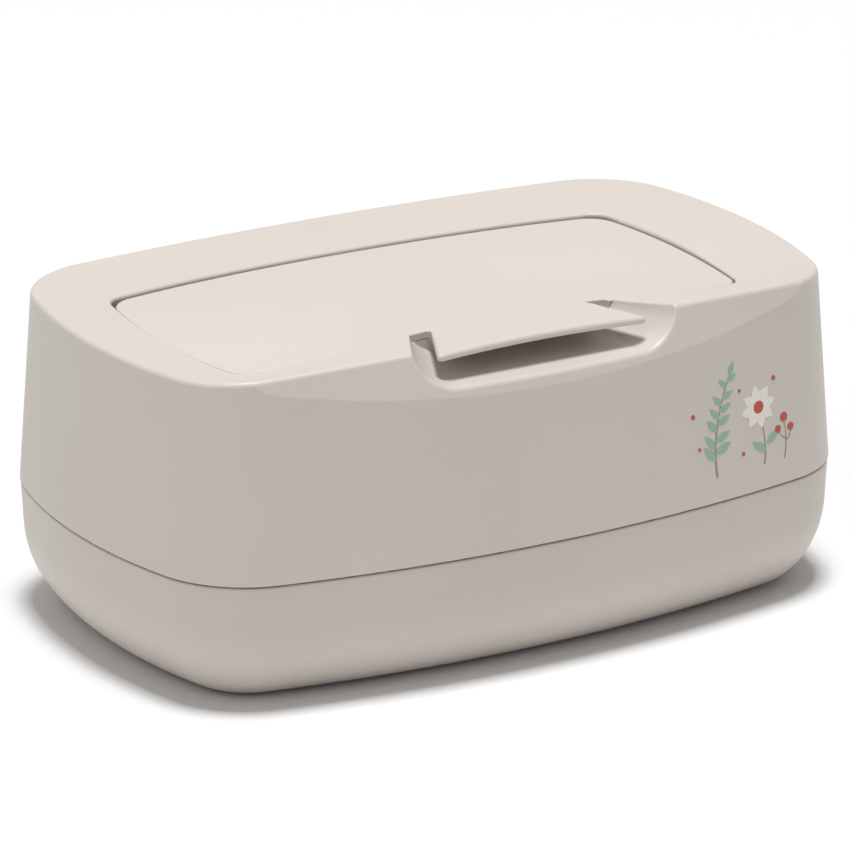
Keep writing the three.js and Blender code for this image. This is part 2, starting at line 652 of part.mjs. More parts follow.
// The lid's outline seen from above, with the scoop's notches cut out and the flared tab put back
function lidPrism() {
  const low = SEAM_HEIGHT;
  const high = HEIGHT + OVERRUN;
  const outline = outlinePoints(LID_OUTLINE, 0);
  const body = stack([lift(outline, low), lift(outline, high)]);
  const mouthY = -FRONT_REACH;
  const mouthHalf = scoopHalf(mouthY);
  const mouth = new THREE.Shape([
    new THREE.Vector2(-mouthHalf, mouthY),
    new THREE.Vector2(mouthHalf, mouthY),
    new THREE.Vector2(SCOOP_BACK_HALF, SCOOP_BACK_Y),
    new THREE.Vector2(-SCOOP_BACK_HALF, SCOOP_BACK_Y),
  ]);
  const tabSlope = (TAB_FRONT_HALF - TAB_ROOT_HALF) / (SCOOP_BACK_Y - TAB_FRONT_Y);
  const rootY = SCOOP_BACK_Y + TAB_ROOT_OVERLAP;
  const rootHalf = TAB_ROOT_HALF - tabSlope * TAB_ROOT_OVERLAP;
  const sideHalf = TAB_FRONT_HALF - tabSlope * TAB_CORNER;
  const tab = new THREE.Shape();
  tab.moveTo(rootHalf, rootY);
  tab.lineTo(-rootHalf, rootY);
  tab.lineTo(-sideHalf, TAB_FRONT_Y + TAB_CORNER);
  tab.quadraticCurveTo(-TAB_FRONT_HALF, TAB_FRONT_Y, -TAB_FRONT_HALF + TAB_CORNER, TAB_FRONT_Y);
  tab.lineTo(TAB_FRONT_HALF - TAB_CORNER, TAB_FRONT_Y);
  tab.quadraticCurveTo(TAB_FRONT_HALF, TAB_FRONT_Y, sideHalf, TAB_FRONT_Y + TAB_CORNER);
  return body.subtract(prism(mouth, low - OVERRUN, high + OVERRUN, 0)).add(prism(tab, low, high, 0));
}

function makeLid() {
  const ribBottom = RECESS_FLOOR_HEIGHT + SEAL_HEIGHT + 2 * FIT_GAP;
  const belowSkin = slab((x, y) => lidTop(x, y) - LID_THICKNESS / 2, () => SEAM_HEIGHT);
  const rib = sealRing(RIB_WIDTH, ribBottom, HEIGHT + OVERRUN).intersect(belowSkin);
  let lid = slab(lidTop, lidUnderside).intersect(lidPrism()).add(rib);
  [-1, 1].forEach((side) => {
    const ends = [side * LUG_INNER_X, side * LUG_OUTER_X].sort((a, b) => a - b);
    const top = LID_LOW - LID_THICKNESS / 4;
    const room = block(ends[0] - OVERRUN, ends[1] + OVERRUN, 0, LID_REAR_REACH, SEAM_HEIGHT, top);
    lid = lid.add(barAlongX(LUG_RADIUS, ends[0], ends[1], HINGE_Y, HINGE_Z).intersect(room));
  });
  const bore = PIN_RADIUS + PIN_CLEARANCE;
  const slot = PIN_RADIUS + FIT_GAP;
  [-1, 1].forEach((side) => {
    const hole = [side * (LUG_INNER_X + LUG_WALL), side * HALF_LENGTH].sort((a, b) => a - b);
    const open = [side * LUG_OUTER_X, side * HALF_LENGTH].sort((a, b) => a - b);
    const room = block(open[0], open[1], HINGE_Y - slot, HINGE_Y + slot, SEAM_HEIGHT, HINGE_Z + slot);
    lid = lid.subtract(barAlongX(bore, hole[0], hole[1], HINGE_Y, HINGE_Z).add(room));
  });
  return lid;
}

function makeLidSeal() {
  const bottom = RECESS_FLOOR_HEIGHT + FIT_GAP;
  return sealRing(SEAL_WIDTH, bottom, bottom + SEAL_HEIGHT);
}

// Scene graph

const group = new THREE.Group();

function addPiece(name, body, colour, roughness, metalness = 0) {
  const mesh = body.getMesh();
  const geometry = new THREE.BufferGeometry();
  geometry.setAttribute('position', new THREE.BufferAttribute(new Float32Array(mesh.vertProperties), 3));
  geometry.setIndex(new THREE.BufferAttribute(new Uint32Array(mesh.triVerts), 1));
  geometry.computeVertexNormals();
  const material = new THREE.MeshStandardMaterial({ color: colour, roughness, metalness });
  const piece = new THREE.Mesh(geometry, material);
  piece.name = name;
  group.add(piece);
}

addPiece('base_tray', makeTray(), COLOURS.shell, 0.6);
addPiece('rim_seal', makeRimSeal(), COLOURS.seal, 0.8);
footPlaces().forEach(([x, y]) => {
  const end = y < 0 ? 'front' : 'rear';
  const side = x < 0 ? 'left' : 'right';
  addPiece(`foot_${end}_${side}`, barAlongZ(FOOT_RADIUS, x, y, 0, FOOT_THICKNESS), COLOURS.rubber, 0.9);
});
addPiece('top_cover', makeCover(), COLOURS.shell, 0.6);
addPiece('dispensing_insert', makeInsert(), COLOURS.seal, 0.8);
addPiece('flip_lid', makeLid(), COLOURS.lid, 0.6);
addPiece('lid_seal', makeLidSeal(), COLOURS.seal, 0.8);
[-1, 1].forEach((side) => {
  const ends = [side * PIN_INNER_X, side * PIN_OUTER_X].sort((a, b) => a - b);
  const pin = barAlongX(PIN_RADIUS, ends[0], ends[1], HINGE_Y, HINGE_Z);
  addPiece(`hinge_pin_${side < 0 ? 'left' : 'right'}`, pin, COLOURS.steel, 0.3, 1);
});

export default group;
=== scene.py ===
"""Looks for the wet wipes box: smooth moulded shells, soft seals, a small printed sprig and a studio.

The shells are written as fields, negative inside the plastic, in millimetres in the frame of the solids.
A field is turned into a mesh by surface nets, and its vertices and normals are then taken from the field.
"""
import math

import bpy
import numpy as np
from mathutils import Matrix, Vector


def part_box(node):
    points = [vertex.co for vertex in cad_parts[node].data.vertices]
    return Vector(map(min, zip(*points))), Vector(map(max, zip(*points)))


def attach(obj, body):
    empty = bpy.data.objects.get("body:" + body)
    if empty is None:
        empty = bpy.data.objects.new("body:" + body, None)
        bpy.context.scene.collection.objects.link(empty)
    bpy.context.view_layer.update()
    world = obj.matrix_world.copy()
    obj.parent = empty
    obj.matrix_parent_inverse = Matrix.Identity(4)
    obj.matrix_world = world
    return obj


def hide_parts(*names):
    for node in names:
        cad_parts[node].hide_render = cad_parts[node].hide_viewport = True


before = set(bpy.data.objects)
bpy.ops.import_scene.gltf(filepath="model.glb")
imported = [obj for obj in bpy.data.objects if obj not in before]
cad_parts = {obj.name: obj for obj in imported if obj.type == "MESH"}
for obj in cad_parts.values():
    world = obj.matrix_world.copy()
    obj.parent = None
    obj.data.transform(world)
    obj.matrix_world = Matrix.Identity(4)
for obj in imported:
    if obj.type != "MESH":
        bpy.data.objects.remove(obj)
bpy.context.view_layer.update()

MM = 0.001

# Body, as in the solids
HALF_LENGTH = 110.0
REACH = 69.55
WIDEST_Y = 3.4
HEIGHT = 90.6
SEAM_HEIGHT = 36.1
SEAM_GAP = 0.4
BODY = dict(half=HALF_LENGTH, front=REACH, rear=REACH, front_bow=15.442, rear_bow=8.178, side_bow=15.625,
            front_corner=29.9, rear_corner=31.7)

# Tray
TRAY_WALL = 2.4
TRAY_INSIDE = 3.4
FOOT_PROUD = 0.6
BASE_ROUND_HEIGHT = 24.0
BASE_ROUND_WIDTH = 17.3
TRAY_DRAFT_SHARE = 0.045
TRAY_EDGE_INSET = 0.25
TRAY_EDGE_ROUND = 0.5
TRAY_RIM_OUTER = 4.55
TRAY_RIM_INNER = 6.15
TRAY_RIM_TOP = 41.9
TRAY_STEPS = (40, 26, 20)
BASE_STEPS = 22
WALL_STEPS = 5
TRAY_FLOOR_INSETS = (14, 6, 2.5)
TRAY_SHOULDER_BEVEL = 0.3
TRAY_LIP_ROUND = 0.6
TRAY_LIP_ROOT = 3.6
TRAY_LIP_MERGE = (8.0, 7.6)
TRAY_INSIDE_START = 4.2
TRAY_INSIDE_CORNER = ((1.6, 0.5), (4, 0), (20, 0))

# Cover
COVER_BOTTOM = SEAM_HEIGHT + SEAM_GAP / 2
COVER_WALL = 2.2
COVER_TOP_INSET = 4.2
RIM_ROUND = 1.3
CREASE_ROUND = 0.05
RECESS_ROUND = 0.9
RECESS_FILLET = 0.6
WELL_FILLET = 1.2
FRONT_SEAM_ROUND = 0.4
SCOOP_EDGE_ROUND = 0.5
SCOOP_LIP_ROUND = 1.1
CRISP_ROUND = 0.06
FACET_TOP_Y = -52.75
FACET_BOW = 9.3
FACET_SLOPE_SHARE = 0.287
FRONT_CROWN = 3.4
CROWN_HALF = 100.6
CROWN_START_Y = -20.05
CROWN_FULL_Y = -50.05

# Lid and the recess that it lies in
LID = dict(half=82.2, front=44.1, rear=45.9, front_bow=10.738, rear_bow=7.571, side_bow=5.716,
           front_corner=8.0, rear_corner=9.0)
LID_GAP = 0.5
LID_REAR_GAP = 0.5
LID_FRONT_GAP = 0.4
RECESS = dict(LID, half=LID["half"] + LID_GAP, front=LID["front"] + LID_FRONT_GAP,
              rear=LID["rear"] + LID_REAR_GAP, rear_corner=6.0)
LID_LOW = 85.4
LID_RISE = 6.8
LID_STEP = 0.8
LEAST_STEP_SHARE = 0.3
LID_THICKNESS = 2.2
LID_LEDGE_GAP = 0.05
LID_EDGE_ROUND = 0.55
LEDGE_WIDTH = 7.3
WELL_FLOOR = 80.5
WELL_EDGE_ROUND = 0.4
SEAM_FADE = (-36.0, 30.0)

# Finger scoop and tab
SCOOP_BACK_Y = -40.6
SCOOP_BACK_HALF = 30.3
SCOOP_RIM_HALF = 40.0
SCOOP_BACK_FLOOR = 85.4
SCOOP_LIP_FLOOR = 82.9
SCOOP_LIP_Y = -REACH + COVER_TOP_INSET
SCOOP_BACK_RADIUS = 5.5
SCOOP_LIP_RADIUS = 9.0
SCOOP_FLANK_LEAN = 2.2
SCOOP_BACK_ROUND = 0.3
TAB_ROOT_HALF = 23.9
TAB_FRONT_HALF = 32.9
TAB_FRONT_Y = -59.8
TAB_ROOT_Y = -35.6
TAB_EDGE_ROUND = 1.05
TAB_CORNER = 1.6
TAB_FILLET = 1.5

# The stretches, along Y or Z, over which an edge goes from one rounding to another
SCOOP_FADE = (SCOOP_BACK_Y - 6, SCOOP_BACK_Y - 1)
LIP_FADE = (84.0, 90.0)
TAB_FADE = (SCOOP_BACK_Y - 7, SCOOP_BACK_Y - 3, SCOOP_BACK_Y + 3, SCOOP_BACK_Y + 10)

# Hinge
HINGE_Y = 34.0
HINGE_Z = 83.9
PIN_RADIUS = 0.6
PIN_ENDS = (67.5, 85.2)
BORE_RADIUS = 0.8
LUG_RADIUS = 1.5
LUG_ENDS = (66.0, 76.2)
LUG_FILLET = 0.2
PIN_ROOM = 0.3
PIN_DOME = 0.35
PIN_SEGMENTS = 24
TRENCH_FRONT_Y = 31.67
TRENCH_FLOOR = 71.3
TRENCH_EDGE_ROUND = 0.3

# The bosses that hold the pins: inner end, outer end, half of the depth, bottom, top
BOSS_BOX = (76.2, 87.6, 4.0, 79.9, 86.0)

# Seals and insert
RIM_SEAL_OUTER = 3.05
RIM_SEAL_WIDTH = 1.2
RIM_SEAL_BOTTOM = 36.2
RIM_SEAL_TOP = 38.0
RIM_SEAL_ROUND = 0.45
RIM_SEAL_STEPS = (30, 20, 16)
SEAL_HALVES = (58.0, 25.5)
SEAL_CENTRE_Y = -4.5
SEAL_CORNER = 12.0
SEAL_WIDTH = 2.4
SEAL_BOTTOM = 80.8
SEAL_TOP = 82.4
SEAL_ROUND = 0.6
RIB_WIDTH = 1.8
RIB_BOTTOM = 82.7
RIB_EDGE_ROUND = 0.3
INSERT_HALVES = (49.7, 22.7)
INSERT_CORNER = 8.0
INSERT_BOTTOM = 79.4
SEAT_HALVES = (50.0, 23.0)
SEAT_FLOOR = 79.1
SEAT_LEDGE = 4.0
SLOT_HALVES = (30.0, 4.6)
SLOT_CORNER = 4.5
SLOT_UNDER_GAP = 0.1
INSERT_UNDER_BEVEL = 0.3

# The insert's top: the distance in from its edge, or out from its slot, and the drop under the well's floor
INSERT_EDGE = ((0, 0.25), (0.25, 0), (5, 0), (5.6, 0.3))
SLOT_LIP = ((4.0, 0.3), (2.6, 0.3), (2.0, -0.1), (1.6, -0.35), (1.0, -0.45), (0.4, -0.35), (0.1, -0.1),
            (0, 0.3), (0, 1.0))

# Pads under the tray. A groove is drawn by the distance from its middle and the depth.
PAD_RADIUS = 7
PAD_HEIGHT = 1.8
PAD_ROUND = 0.4
PAD_TOP_BEVEL = 0.1
PAD_CENTRE = 0.3
PAD_GROOVES = (2.4, 4.6)
GROOVE = ((-0.45, 0), (-0.25, 0.3), (0.25, 0.3), (0.45, 0))

# Points along a small rounded edge, and along the quarter of a seal's section or of a pin's dome
EDGE_STEPS = 5
BEAD_STEPS = 6

# Camera, fitted to the photograph
CAMERA_AZIMUTH = math.radians(-30.305)
CAMERA_ELEVATION = math.radians(19.418)
CAMERA_DISTANCE = 1563.1 * MM
CAMERA_TARGET = Vector((1.11, 4.93, 46.2)) * MM
CAMERA_LENS = 238.5
SENSOR_WIDTH = 36.0

# Studio: the floor bends up into a backdrop. Lights have an azimuth, elevation, distance, size and power.
FLOOR_HALF_WIDTH = 6.0
FLOOR_DEPTH = 5.0
BACKDROP_HEIGHT = 4.0
BACKDROP_BEND = 1.5
BEND_STEPS = 16
FLOOR_GREY = 0.80
FLOOR_ROUGHNESS = 0.9
WORLD_STRENGTH = 0.29
TOP_LIGHT = (0, 88, 6.0, 1.6, 335)
FRONT_LIGHT = (-65, 40, 2.4, 1.6, 7)


# Distance helpers

def round_max(a, b, radius):
    """Where both fields are negative, with the edge between them rounded."""
    corner = np.hypot(np.maximum(radius + a, 0), np.maximum(radius + b, 0))
    return np.minimum(-radius, np.maximum(a, b)) + corner


def round_min(a, b, radius):
    """Where either field is negative, with the corner between them filled."""
    corner = np.hypot(np.maximum(radius - a, 0), np.maximum(radius - b, 0))
    return np.maximum(radius, np.minimum(a, b)) - corner


def arc_radius(half, bow):
    return (half * half + bow * bow) / (2 * bow)


def fillet_centre(first, first_radius, second, second_radius, radius, sign):
    """The centre of an arc that touches the inside of two large arcs, on the +X side."""
    d1 = first_radius - radius
    d2 = second_radius - radius
    span = second - first
    length = np.hypot(*span)
    along = (d1 * d1 - d2 * d2 + length * length) / (2 * length)
    across = math.sqrt(d1 * d1 - along * along)
    middle = first + span * along / length
    normal = np.array([-span[1], span[0]]) / length
    ends = [middle + normal * across, middle - normal * across]
    return max(ends, key=lambda p: p[0] + sign * p[1])


class Bowed:
    """An outline of four long arcs joined by four corner arcs."""

    def __init__(self, half, front, rear, front_bow, rear_bow, side_bow, front_corner, rear_corner):
        front_radius, rear_radius = arc_radius(half, front_bow), arc_radius(half, rear_bow)
        side_radius = arc_radius((front + rear) / 2, side_bow)
        self.radii = (front_radius, rear_radius, side_radius)
        self.front = np.array([0.0, front_radius - front])
        self.rear = np.array([0.0, rear - rear_radius])
        self.side = np.array([half - side_radius, WIDEST_Y])
        self.corners = []
        for centre, radius, corner, sign in (
            (self.front, front_radius, front_corner, -1),
            (self.rear, rear_radius, rear_corner, 1),
        ):
            fillet = fillet_centre(centre, radius, self.side, side_radius, corner, sign)
            ways = [(fillet - c) / np.hypot(*(fillet - c)) for c in (centre, self.side)]
            self.corners.append((fillet, corner, ways))

    def distance(self, x, y):
        """Signed distance, negative inside."""
        x = np.abs(x)
        arcs = [
            np.hypot(x - c[0], y - c[1]) - r
            for c, r in zip((self.front, self.rear, self.side), self.radii)
        ]
        found = np.maximum(np.maximum(arcs[0], arcs[1]), arcs[2])
        for fillet, corner, (u, v) in self.corners:
            dx, dy = x - fillet[0], y - fillet[1]
            turn = u[0] * v[1] - u[1] * v[0]
            first = (dx * v[1] - dy * v[0]) / turn
            second = (u[0] * dy - u[1] * dx) / turn
            found = np.where((first > 0) & (second > 0), np.hypot(dx, dy) - corner, found)
        return found

    def points(self, inset, steps):
        """Points round the outline moved in by inset, anticlockwise from the middle of the front."""
        front_radius, rear_radius, side_radius = self.radii
        (front_fillet, front_corner, front_ways), (rear_fillet, rear_corner, rear_ways) = self.corners

        def arc(centre, radius, start, end, count):
            turns = np.linspace(start, end, count, endpoint=False)
            return np.column_stack([centre[0] + radius * np.cos(turns), centre[1] + radius * np.sin(turns)])

        def angle(way):
            return math.atan2(way[1], way[0])

        bottom, top = -math.pi / 2, math.pi / 2
        long_steps, corner_steps, side_steps = steps
        right = np.vstack([
            arc(self.front, front_radius - inset, bottom, angle(front_ways[0]), long_steps),
            arc(front_fillet, front_corner - inset, angle(front_ways[0]), angle(front_ways[1]), corner_steps),
            arc(self.side, side_radius - inset, angle(front_ways[1]), angle(rear_ways[1]), side_steps),
            arc(rear_fillet, rear_corner - inset, angle(rear_ways[1]), angle(rear_ways[0]), corner_steps),
            arc(self.rear, rear_radius - inset, angle(rear_ways[0]), top, long_steps),
            [[0.0, self.rear[1] + rear_radius - inset]],
        ])
        left = right[1:-1][::-1] * [-1, 1]
        return np.vstack([right, left])


body = Bowed(**BODY)
lid_outline = Bowed(**LID)
recess_outline = Bowed(**RECESS)


def rounded_rectangle(x, y, halves, corner):
    """Signed distance to a rounded rectangle about the seal's centre."""
    dx = np.abs(x) - halves[0] + corner
    dy = np.abs(y - SEAL_CENTRE_Y) - halves[1] + corner
    outside = np.hypot(np.maximum(dx, 0), np.maximum(dy, 0))
    return outside + np.minimum(np.maximum(dx, dy), 0) - corner


# Height functions of the dished top, whose front rim rises and bows forward towards its middle

def crown_share(x):
    return np.maximum(0, 1 - (x / CROWN_HALF) ** 2)


def rim_line(x):
    return FACET_TOP_Y - FACET_BOW * crown_share(x)


def rim_height(x, y):
    forward = np.clip((CROWN_START_Y - y) / (CROWN_START_Y - CROWN_FULL_Y), 0, 1)
    return HEIGHT + FRONT_CROWN * crown_share(x) * forward


def lid_top(x, y):
    forward = np.minimum(1, (LID["rear"] - y) / (LID["rear"] + LID["front"]))
    across = np.maximum(0, 1 - (x / LID["half"]) ** 2)
    return LID_LOW + LID_RISE * across * forward


def recess_edge(x, y):
    share = np.clip(1 + y / LID["front"], LEAST_STEP_SHARE, 1)
    return lid_top(x, y) + LID_STEP * share


def ledge(x, y):
    return lid_top(x, y) - LID_THICKNESS - LID_LEDGE_GAP


def roof(x, y):
    """The band between the rim and the recess, falling evenly from one to the other."""
    from_wall = -(body.distance(x, y) + COVER_TOP_INSET + RIM_ROUND)
    from_rim = np.maximum(0, np.minimum(from_wall, y - rim_line(x)))
    from_recess = np.maximum(0, recess_outline.distance(x, y))
    share = from_rim / np.maximum(from_rim + from_recess, 1e-6)
    rim = rim_height(x, y)
    return rim + (recess_edge(x, y) - rim) * share


# Fields of the shells

SCOOP_FLARE = (SCOOP_RIM_HALF - SCOOP_BACK_HALF) / (SCOOP_BACK_Y - rim_line(SCOOP_RIM_HALF))


def scoop_half(y):
    return SCOOP_BACK_HALF + SCOOP_FLARE * (SCOOP_BACK_Y - y)


def scoop(x, y, z):
    forward = (SCOOP_BACK_Y - y) / (SCOOP_BACK_Y - SCOOP_LIP_Y)
    floor = SCOOP_BACK_FLOOR + (SCOOP_LIP_FLOOR - SCOOP_BACK_FLOOR) * forward
    radius = SCOOP_BACK_RADIUS + (SCOOP_LIP_RADIUS - SCOOP_BACK_RADIUS) * np.clip(forward, 0, 1)
    lean = SCOOP_FLANK_LEAN * (HEIGHT - z) / (HEIGHT - SCOOP_BACK_FLOOR)
    flank = (np.abs(x) - scoop_half(y) + lean) / math.hypot(1, SCOOP_FLARE)
    trough = round_max(flank, floor - z, radius)
    return round_max(trough, y - SCOOP_BACK_Y, SCOOP_BACK_ROUND)


def cover_skin(x, y, z):
    """The cover as a solid block with its recess, well, trench and scoop."""
    inset = COVER_TOP_INSET * (z - COVER_BOTTOM) / (HEIGHT - COVER_BOTTOM)
    facet = (rim_line(x) - y - (rim_height(x, y) - z) * FACET_SLOPE_SHARE) / math.hypot(1, FACET_SLOPE_SHARE)
    wall = round_max(body.distance(x, y) + inset, facet, CREASE_ROUND)
    skin = round_max(wall, z - roof(x, y), RIM_ROUND)
    from_recess = recess_outline.distance(x, y)
    edge_round = np.interp(y, SEAM_FADE, (FRONT_SEAM_ROUND, RECESS_ROUND))
    skin = round_max(skin, -round_max(from_recess, ledge(x, y) - z, RECESS_FILLET), edge_round)
    trench = np.maximum(np.maximum(from_recess, TRENCH_FRONT_Y - y), TRENCH_FLOOR - z)
    skin = round_max(skin, -trench, TRENCH_EDGE_ROUND)
    well = round_max(lid_outline.distance(x, y) + LEDGE_WIDTH, WELL_FLOOR - z, WELL_FILLET)
    skin = round_max(skin, -well, WELL_EDGE_ROUND)
    lip_round = np.interp(z, LIP_FADE, (SCOOP_LIP_ROUND, SCOOP_EDGE_ROUND))
    crisp = np.interp(y, SCOOP_FADE, (0, 1))
    scoop_round = lip_round * (1 - crisp) + CRISP_ROUND * crisp
    return round_max(skin, -scoop(x, y, z), scoop_round)


def bar(y, z, radius):
    return np.hypot(y - HINGE_Y, z - HINGE_Z) - radius


def cover_field(x, y, z):
    skin = cover_skin(x, y, z)
    inner, outer, reach, low, high = BOSS_BOX
    away = np.abs(x)
    boss = np.maximum.reduce([inner - away, away - outer, np.abs(y - HINGE_Y) - reach, low - z, z - high])
    room = np.minimum(-(skin + COVER_WALL), boss)
    shell = np.maximum(round_max(skin, COVER_BOTTOM - z, TRAY_EDGE_ROUND), room)
    socket = np.maximum(bar(y, z, BORE_RADIUS), away - PIN_ENDS[1])
    seat = np.maximum(rounded_rectangle(x, y, SEAT_HALVES, INSERT_CORNER), SEAT_FLOOR - z)
    opening = rounded_rectangle(x, y, [h - SEAT_LEDGE for h in SEAT_HALVES], INSERT_CORNER - SEAT_LEDGE)
    return np.maximum.reduce([shell, -socket, -seat, -opening])


def lid_field(x, y, z):
    notch = np.maximum((np.abs(x) - scoop_half(y)) / math.hypot(1, SCOOP_FLARE), y - SCOOP_BACK_Y)
    slope = (TAB_FRONT_HALF - TAB_ROOT_HALF) / (SCOOP_BACK_Y - TAB_FRONT_Y)
    tab_side = (np.abs(x) - TAB_ROOT_HALF - slope * (SCOOP_BACK_Y - y)) / math.hypot(1, slope)
    tab = np.maximum(round_max(tab_side, TAB_FRONT_Y - y, TAB_CORNER), y - TAB_ROOT_Y)
    plan = round_max(lid_outline.distance(x, y), -notch, FRONT_SEAM_ROUND)
    plan = round_min(plan, tab, TAB_FILLET)
    top = lid_top(x, y)
    over = np.interp(y, TAB_FADE, (TAB_EDGE_ROUND, FRONT_SEAM_ROUND, FRONT_SEAM_ROUND, LID_EDGE_ROUND))
    under = np.interp(y, TAB_FADE, (TAB_EDGE_ROUND, CRISP_ROUND, CRISP_ROUND, LID_EDGE_ROUND / 2))
    plate = round_max(round_max(plan, z - top, over), top - LID_THICKNESS - z, under)
    ring = np.abs(rounded_rectangle(x, y, SEAL_HALVES, SEAL_CORNER)) - RIB_WIDTH / 2
    middle = top - LID_THICKNESS / 2
    rib = np.maximum(round_max(ring, RIB_BOTTOM - z, RIB_EDGE_ROUND), z - middle)
    away = np.abs(x)
    lug = np.maximum.reduce([bar(y, z, LUG_RADIUS), away - LUG_ENDS[1], LUG_ENDS[0] - away, z - middle])
    whole = round_min(np.minimum(plate, rib), lug, LUG_FILLET)
    slot = PIN_RADIUS + PIN_ROOM
    groove = np.maximum.reduce([LUG_ENDS[1] - away, np.abs(y - HINGE_Y) - slot, z - HINGE_Z - slot])
    bore = np.maximum(bar(y, z, BORE_RADIUS), PIN_ENDS[0] - PIN_ROOM - away)
    return np.maximum.reduce([whole, -groove, -bore])


# Meshing

COVER_STEP = 0.55
LID_MESH_STEP = 0.5
GRADIENT_STEP = 0.02
SETTLING_ROUNDS = 5
LEAST_STEEPNESS = 0.05
LONGEST_MOVE = 0.4


def spread(*stretches):
    """Grid lines over neighbouring stretches, each given as its start, end and step."""
    lines = [np.linspace(a, b, max(1, round((b - a) / step)), endpoint=False) for a, b, step in stretches]
    return np.concatenate([*lines, [stretches[-1][1]]])


def both_sides(*stretches):
    """The same from the middle out, on both sides of zero."""
    half = spread(*stretches)
    return np.concatenate([-half[:0:-1], half])


def gradient(field, points):
    x, y, z = points.T
    parts = []
    for axis in range(3):
        d = np.zeros(3)
        d[axis] = GRADIENT_STEP
        ahead = field(x + d[0], y + d[1], z + d[2])
        behind = field(x - d[0], y - d[1], z - d[2])
        parts.append((ahead - behind) / (2 * GRADIENT_STEP))
    return np.column_stack(parts)


def surface_nets(field, xs, ys, zs):
    """Points, quads and normals of the field's zero surface on a grid with uneven lines."""
    lines = (xs, ys, zs)
    values = field(*np.meshgrid(*lines, indexing="ij"))
    inside = values < 0
    cells = tuple(n - 1 for n in values.shape)
    total = np.zeros((*cells, 3))
    count = np.zeros(cells, dtype=int)
    crossings = []
    for axis in range(3):
        low = [slice(None)] * 3
        high = [slice(None)] * 3
        low[axis] = slice(None, -1)
        high[axis] = slice(1, None)
        a, b = values[tuple(low)], values[tuple(high)]
        crossed = inside[tuple(low)] != inside[tuple(high)]
        share = np.where(crossed, a / np.where(crossed, a - b, 1), 0)
        crossings.append((crossed, inside[tuple(low)]))
        starts = [line[:-1] if i == axis else line for i, line in enumerate(lines)]
        places = list(np.meshgrid(*starts, indexing="ij"))
        shape = [1, 1, 1]
        shape[axis] = -1
        places[axis] = places[axis] + share * np.diff(lines[axis]).reshape(shape)
        others = [i for i in range(3) if i != axis]
        for first in (0, 1):
            for second in (0, 1):
                part = [slice(None)] * 3
                part[others[0]] = slice(first, first + cells[others[0]])
                part[others[1]] = slice(second, second + cells[others[1]])
                part = tuple(part)
                hit = crossed[part]
                count += hit
                for i in range(3):
                    total[..., i] += np.where(hit, places[i][part], 0)
    active = count > 0
    number = np.full(cells, -1)
    number[active] = np.arange(active.sum())
    points = total[active] / count[active][:, None]
    quads = []
    for axis in range(3):
        b, c = (axis + 1) % 3, (axis + 2) % 3
        crossed, starts_inside = crossings[axis]
        index = np.argwhere(crossed)
        keep = (index[:, b] > 0) & (index[:, b] < cells[b]) & (index[:, c] > 0) & (index[:, c] < cells[c])
        index = index[keep]
        corners = []
        for db, dc in ((1, 1), (0, 1), (0, 0), (1, 0)):
            corner = index.copy()
            corner[:, b] -= db
            corner[:, c] -= dc
            corners.append(number[tuple(corner.T)])
        quad = np.column_stack(corners)
        flip = ~starts_inside[tuple(index.T)]
        quad[flip] = quad[flip][:, ::-1]
        quads.append(quad)
    for _ in range(SETTLING_ROUNDS):
        slope = gradient(field, points)
        steep = np.maximum((slope ** 2).sum(1), LEAST_STEEPNESS)
        move = slope * (field(*points.T) / steep)[:, None]
        points -= np.clip(move, -LONGEST_MOVE, LONGEST_MOVE)
    normals = gradient(field, points)
    normals /= np.maximum(np.linalg.norm(normals, axis=1), 1e-9)[:, None]
    return points, np.vstack(quads), normals


def mesh_object(name, points, faces, normals=None, smooth=True):
    """An object from points in millimetres."""
    mesh = bpy.data.meshes.new(name)
    mesh.from_pydata((np.asarray(points) * MM).tolist(), [], [list(map(int, f)) for f in faces])
    mesh.validate()
    mesh.polygons.foreach_set("use_smooth", [smooth] * len(mesh.polygons))
    if normals is not None and len(normals) == len(mesh.vertices):
        mesh.normals_split_custom_set_from_vertices(normals.tolist())
    mesh.update()
    piece = bpy.data.objects.new(name, mesh)
    bpy.context.scene.collection.objects.link(piece)
    return piece


def field_object(name, field, xs, ys, zs):
    return mesh_object(name, *surface_nets(field, xs, ys, zs))


def loft(name, rings, closed=False):
    """A skin over rings of as many points each: closed into a loop, or capped at both ends."""
    count = len(rings[0])
    points = np.vstack(rings)
    faces = []
    levels = len(rings) if closed else len(rings) - 1
    for level in range(levels):
        base, above = level * count, ((level + 1) % len(rings)) * count
        for i in range(count):
            j = (i + 1) % count
            faces.append((base + i, base + j, above + j, above + i))
    if not closed:
        faces.append(tuple(range(count))[::-1])
        faces.append(tuple(range((len(rings) - 1) * count, len(rings) * count)))
    return mesh_object(name, points, faces)


def raised(outline, height):
    return np.column_stack([outline, np.full(len(outline), height)])


# Materials. A noise has a scale and a detail. The shader's own noise lies mostly in NOISE_RANGE.

PLASTIC_COLOUR = (0.62, 0.565, 0.515)
PLASTIC_ROUGHNESS = 0.42
PLASTIC_GRAIN = (1500, 0.02)
SOFT_GRAIN = (900, 0.03)
PAD_GRAIN = (700, 0.08)
GRAIN_DETAIL = 4
COLOUR_NOISE = (14, 4)
COLOUR_DRIFT = 0.025
ROUGHNESS_NOISE = (26, 3)
ROUGHNESS_DRIFT = (-0.04, 0.05)
NOISE_RANGE = (0.3, 0.7)
STEEL_ROUGHNESS = 0.3
STEEL_ROUGHNESS_RANGE = (0.22, 0.42)
STEEL_STREAKS = (40, 2500, 2500)


def principled(name, colour, roughness):
    material = bpy.data.materials.new(name)
    material.use_nodes = True
    nodes, links = material.node_tree.nodes, material.node_tree.links
    shader = nodes["Principled BSDF"]
    shader.inputs["Base Color"].default_value = (*colour, 1)
    shader.inputs["Roughness"].default_value = roughness
    return material, shader, nodes, links


